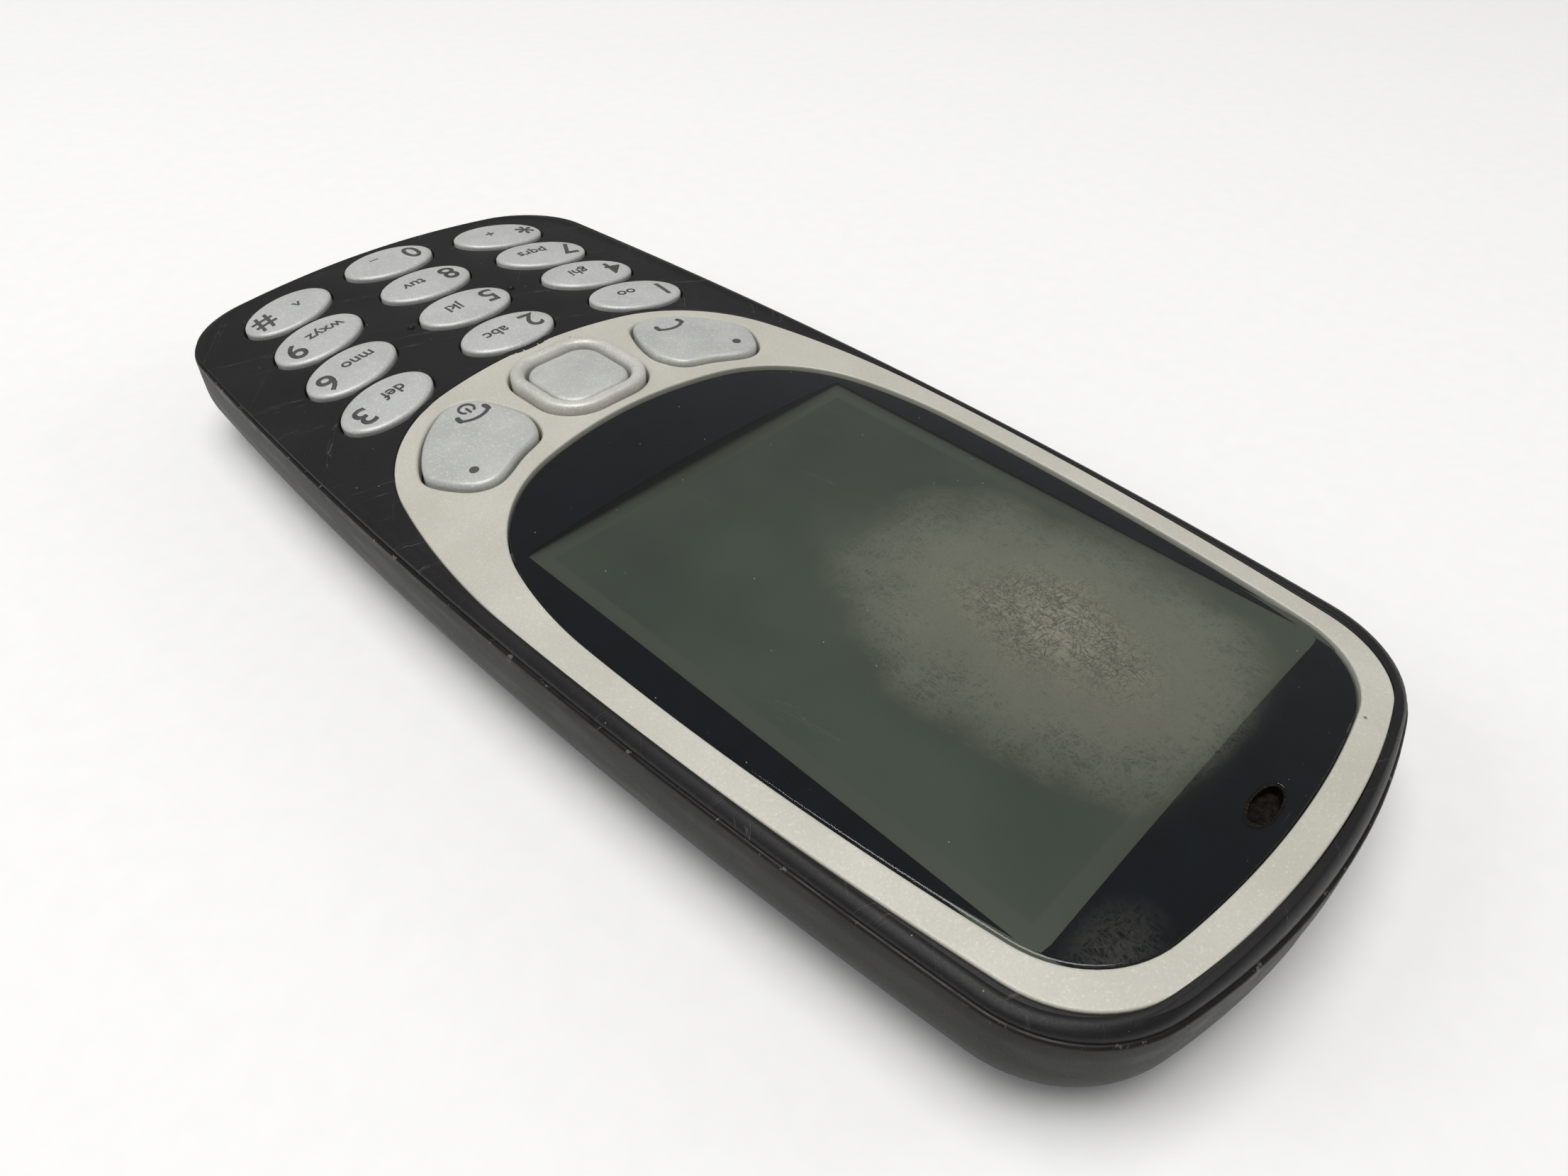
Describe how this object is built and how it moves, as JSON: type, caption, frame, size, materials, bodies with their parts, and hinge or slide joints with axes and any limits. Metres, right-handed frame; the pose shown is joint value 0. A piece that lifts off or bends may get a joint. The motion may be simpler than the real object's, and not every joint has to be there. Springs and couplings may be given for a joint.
{
  "type": "keypad mobile phone",
  "caption": "Slim bar-shaped keypad phone with a gently curved face, raised oval keys, a square scroll ring, a wide bezel ring round the display window and a lift-off back shell.",
  "frame": {"origin": "centre of the back plane the phone lies on", "axes": "+Z out of the keypad face, +Y along the phone towards the earpiece, +X towards the side of key 3"},
  "size_m": [0.051, 0.1155, 0.0128],
  "materials": {
    "front_plastic": "satin charcoal with a fine grain",
    "bezel_paint": "warm light grey paint, slight sparkle",
    "window": "gloss black-blue",
    "mesh": "worn woven mesh",
    "scroll_plastic": "satin silver",
    "nav_plastic": "satin silver-grey",
    "key_plastic": "satin silver-grey",
    "inner_plastic": "matt black",
    "rubber": "matt",
    "steel": "plain",
    "display_glass": "grey-green, unlit",
    "white_plastic": "plain",
    "copper": "plain",
    "brass": "gold plated",
    "board": "solder mask",
    "lamp": "phosphor yellow",
    "battery_wrap": "printed film",
    "label": "paper",
    "back_plastic": "warm charcoal, eggshell",
    "lens": "frosted"
  },
  "bodies": {
    "phone": {"front_cover": "front_plastic", "bezel_ring": "bezel_paint", "display_window": "window", "earpiece_mesh": "mesh", "keypad_mat": "rubber", "dome_sheet": "steel", "display_panel": "display_glass", "display_frame": "white_plastic", "display_flex": "copper", "window_gasket": "rubber", "earpiece_speaker": "inner_plastic", "microphone": "brass", "main_board": "board", "shield_can_left": "steel", "shield_can_right": "steel", "sim_holder_one": "steel", "sim_holder_two": "steel", "memory_card_holder": "steel", "usb_socket": "steel", "headset_socket": "inner_plastic", "battery_contacts": "brass", "loudspeaker": "inner_plastic", "buzz_motor": "steel", "camera_module": "inner_plastic", "flash_lamp": "lamp", "antenna": "copper", "chassis": "inner_plastic", "chassis_screws": "steel"},
    "key_1_cap": {"key_1": "key_plastic"},
    "key_2_cap": {"key_2": "key_plastic"},
    "key_3_cap": {"key_3": "key_plastic"},
    "key_4_cap": {"key_4": "key_plastic"},
    "key_5_cap": {"key_5": "key_plastic"},
    "key_6_cap": {"key_6": "key_plastic"},
    "key_7_cap": {"key_7": "key_plastic"},
    "key_8_cap": {"key_8": "key_plastic"},
    "key_9_cap": {"key_9": "key_plastic"},
    "key_star_cap": {"key_star": "key_plastic"},
    "key_0_cap": {"key_0": "key_plastic"},
    "key_hash_cap": {"key_hash": "key_plastic"},
    "centre_key_cap": {"centre_key": "nav_plastic"},
    "gimbal": {"scroll_gimbal": "inner_plastic"},
    "scroll": {"scroll_ring": "scroll_plastic"},
    "left_rocker_key": {"left_rocker": "nav_plastic"},
    "right_rocker_key": {"right_rocker": "nav_plastic"},
    "battery_pack": {"battery": "battery_wrap", "battery_label": "label", "battery_terminals": "brass"},
    "back_shell": {"back_cover": "back_plastic", "camera_window": "window", "flash_lens": "lens"}
  },
  "joints": [
    {"name": "key_1_press", "type": "slide", "parent": "phone", "child": "key_1_cap", "axis": [-0.0814, -0.0169, 0.9965], "range_m": [-0.0003, 0], "stiffness_N_per_m": 2000},
    {"name": "key_2_press", "type": "slide", "parent": "phone", "child": "key_2_cap", "axis": [0, -0.0178, 0.9998], "range_m": [-0.0003, 0], "stiffness_N_per_m": 2000},
    {"name": "key_3_press", "type": "slide", "parent": "phone", "child": "key_3_cap", "axis": [0.0814, -0.0169, 0.9965], "range_m": [-0.0003, 0], "stiffness_N_per_m": 2000},
    {"name": "key_4_press", "type": "slide", "parent": "phone", "child": "key_4_cap", "axis": [-0.0779, -0.0205, 0.9967], "range_m": [-0.0003, 0], "stiffness_N_per_m": 2000},
    {"name": "key_5_press", "type": "slide", "parent": "phone", "child": "key_5_cap", "axis": [0, -0.0215, 0.9998], "range_m": [-0.0003, 0], "stiffness_N_per_m": 2000},
    {"name": "key_6_press", "type": "slide", "parent": "phone", "child": "key_6_cap", "axis": [0.0779, -0.0205, 0.9967], "range_m": [-0.0003, 0], "stiffness_N_per_m": 2000},
    {"name": "key_7_press", "type": "slide", "parent": "phone", "child": "key_7_cap", "axis": [-0.0745, -0.0242, 0.9969], "range_m": [-0.0003, 0], "stiffness_N_per_m": 2000},
    {"name": "key_8_press", "type": "slide", "parent": "phone", "child": "key_8_cap", "axis": [0, -0.0251, 0.9997], "range_m": [-0.0003, 0], "stiffness_N_per_m": 2000},
    {"name": "key_9_press", "type": "slide", "parent": "phone", "child": "key_9_cap", "axis": [0.0745, -0.0242, 0.9969], "range_m": [-0.0003, 0], "stiffness_N_per_m": 2000},
    {"name": "key_star_press", "type": "slide", "parent": "phone", "child": "key_star_cap", "axis": [-0.071, -0.0278, 0.9971], "range_m": [-0.0003, 0], "stiffness_N_per_m": 2000},
    {"name": "key_0_press", "type": "slide", "parent": "phone", "child": "key_0_cap", "axis": [0, -0.0288, 0.9996], "range_m": [-0.0003, 0], "stiffness_N_per_m": 2000},
    {"name": "key_hash_press", "type": "slide", "parent": "phone", "child": "key_hash_cap", "axis": [0.071, -0.0278, 0.9971], "range_m": [-0.0003, 0], "stiffness_N_per_m": 2000},
    {"name": "centre_key_press", "type": "slide", "parent": "phone", "child": "centre_key_cap", "axis": [0, 0, 1], "range_m": [-0.0003, 0], "stiffness_N_per_m": 2000},
    {"name": "scroll_tilt_up_down", "type": "hinge", "parent": "phone", "child": "gimbal", "pos_m": [0, -0.0178, 0.00914], "axis": [1, 0, 0], "range_deg": [-1.2, 1.2], "stiffness_Nm_per_rad": 0.1},
    {"name": "scroll_tilt_left_right", "type": "hinge", "parent": "gimbal", "child": "scroll", "pos_m": [0, -0.0178, 0.00914], "axis": [0, 1, 0], "range_deg": [-1.2, 1.2], "stiffness_Nm_per_rad": 0.1},
    {"name": "left_rocker_tilt", "type": "hinge", "parent": "phone", "child": "left_rocker_key", "pos_m": [-0.01299, -0.01607, 0.00904], "axis": [0.9974, 0, 0.0721], "range_deg": [-1.2, 1.2], "stiffness_Nm_per_rad": 0.1},
    {"name": "right_rocker_tilt", "type": "hinge", "parent": "phone", "child": "right_rocker_key", "pos_m": [0.01299, -0.01607, 0.00904], "axis": [0.9974, 0, -0.0721], "range_deg": [-1.2, 1.2], "stiffness_Nm_per_rad": 0.1},
    {"name": "back_shell_off", "type": "slide", "parent": "phone", "child": "back_shell", "axis": [0, 0, -1], "range_m": [0, 0.015]},
    {"name": "battery_out", "type": "slide", "parent": "phone", "child": "battery_pack", "axis": [0, 0, -1], "range_m": [0, 0.0075]}
  ],
  "couplings": [
    {"joint": "battery_out", "follows": "back_shell_off", "ratio": 0.5}
  ]
}
